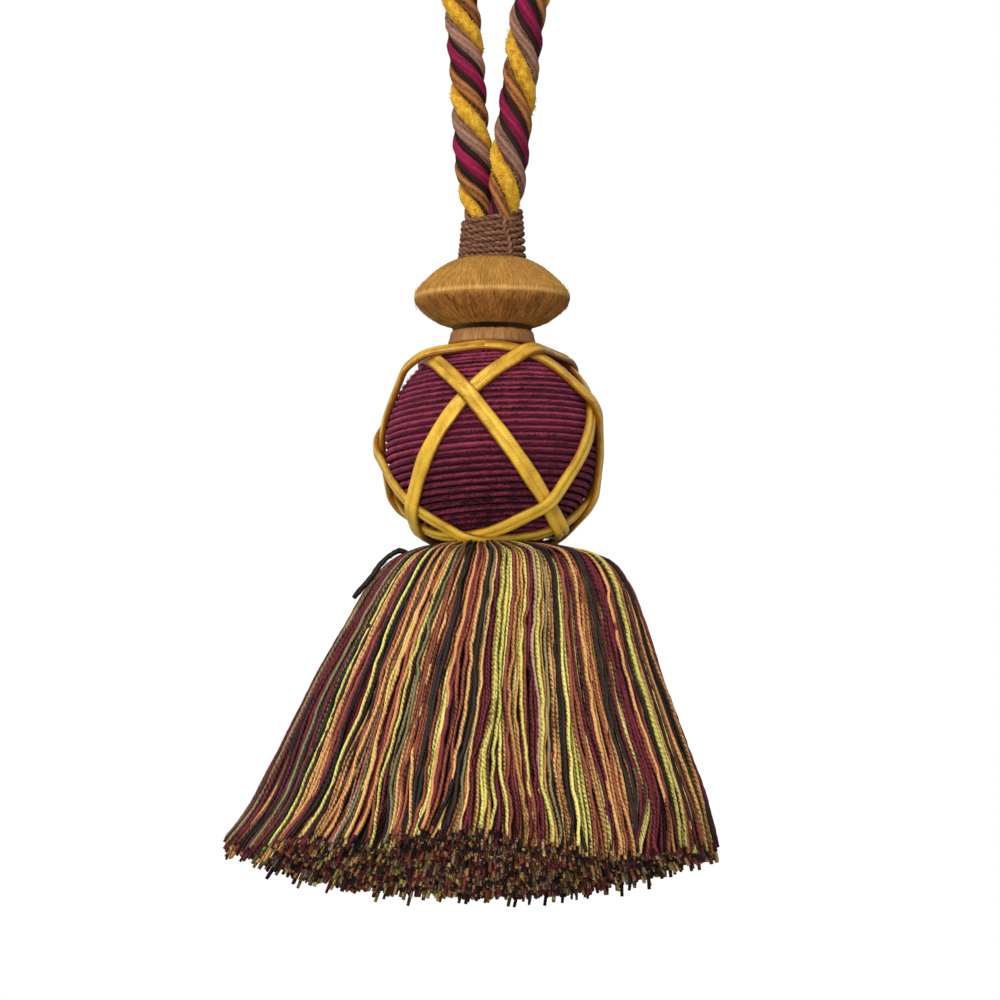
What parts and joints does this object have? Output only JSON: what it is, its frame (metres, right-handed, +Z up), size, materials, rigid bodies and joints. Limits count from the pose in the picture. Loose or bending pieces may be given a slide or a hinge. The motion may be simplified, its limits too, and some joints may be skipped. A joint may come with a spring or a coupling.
{
  "type": "key tassel",
  "caption": "Furnishing tassel: twisted cord loop, whipped neck, silk-wound bun, yarn-wound ball under a gold gimp lattice, and a full cut-yarn skirt",
  "frame": {"origin": "underside of the loop's top, where a key bow or a hook bears", "axes": "+Z up along the hanging tassel, -Y to the front, +X to the right seen from the front"},
  "size_m": [0.0834, 0.0836, 0.187],
  "materials": {
    "cord": "laid cord of gold chenille, taupe, raspberry and copper strands",
    "twine": "hard-twisted dark brown twine",
    "bun_silk": "gold-brown silk floss wound in fine upright threads",
    "collar_silk": "pale tan silk floss wound in fine upright threads",
    "ball_yarn": "burgundy yarn wound in level turns",
    "gimp": "flat gold gimp with a satin gloss",
    "skirt_yarn": "two-ply cut yarn in lime, copper, burgundy, rust, mauve, grey-green and black"
  },
  "bodies": {
    "root": {"cord_loop": "cord", "neck_whipping": "twine", "bun": "bun_silk", "collar": "collar_silk", "ball": "ball_yarn", "gimp_ring_1": "gimp", "gimp_ring_2": "gimp", "gimp_ring_3": "gimp", "gimp_ring_4": "gimp", "gimp_ring_5": "gimp", "skirt": "skirt_yarn"}
  },
  "joints": []
}
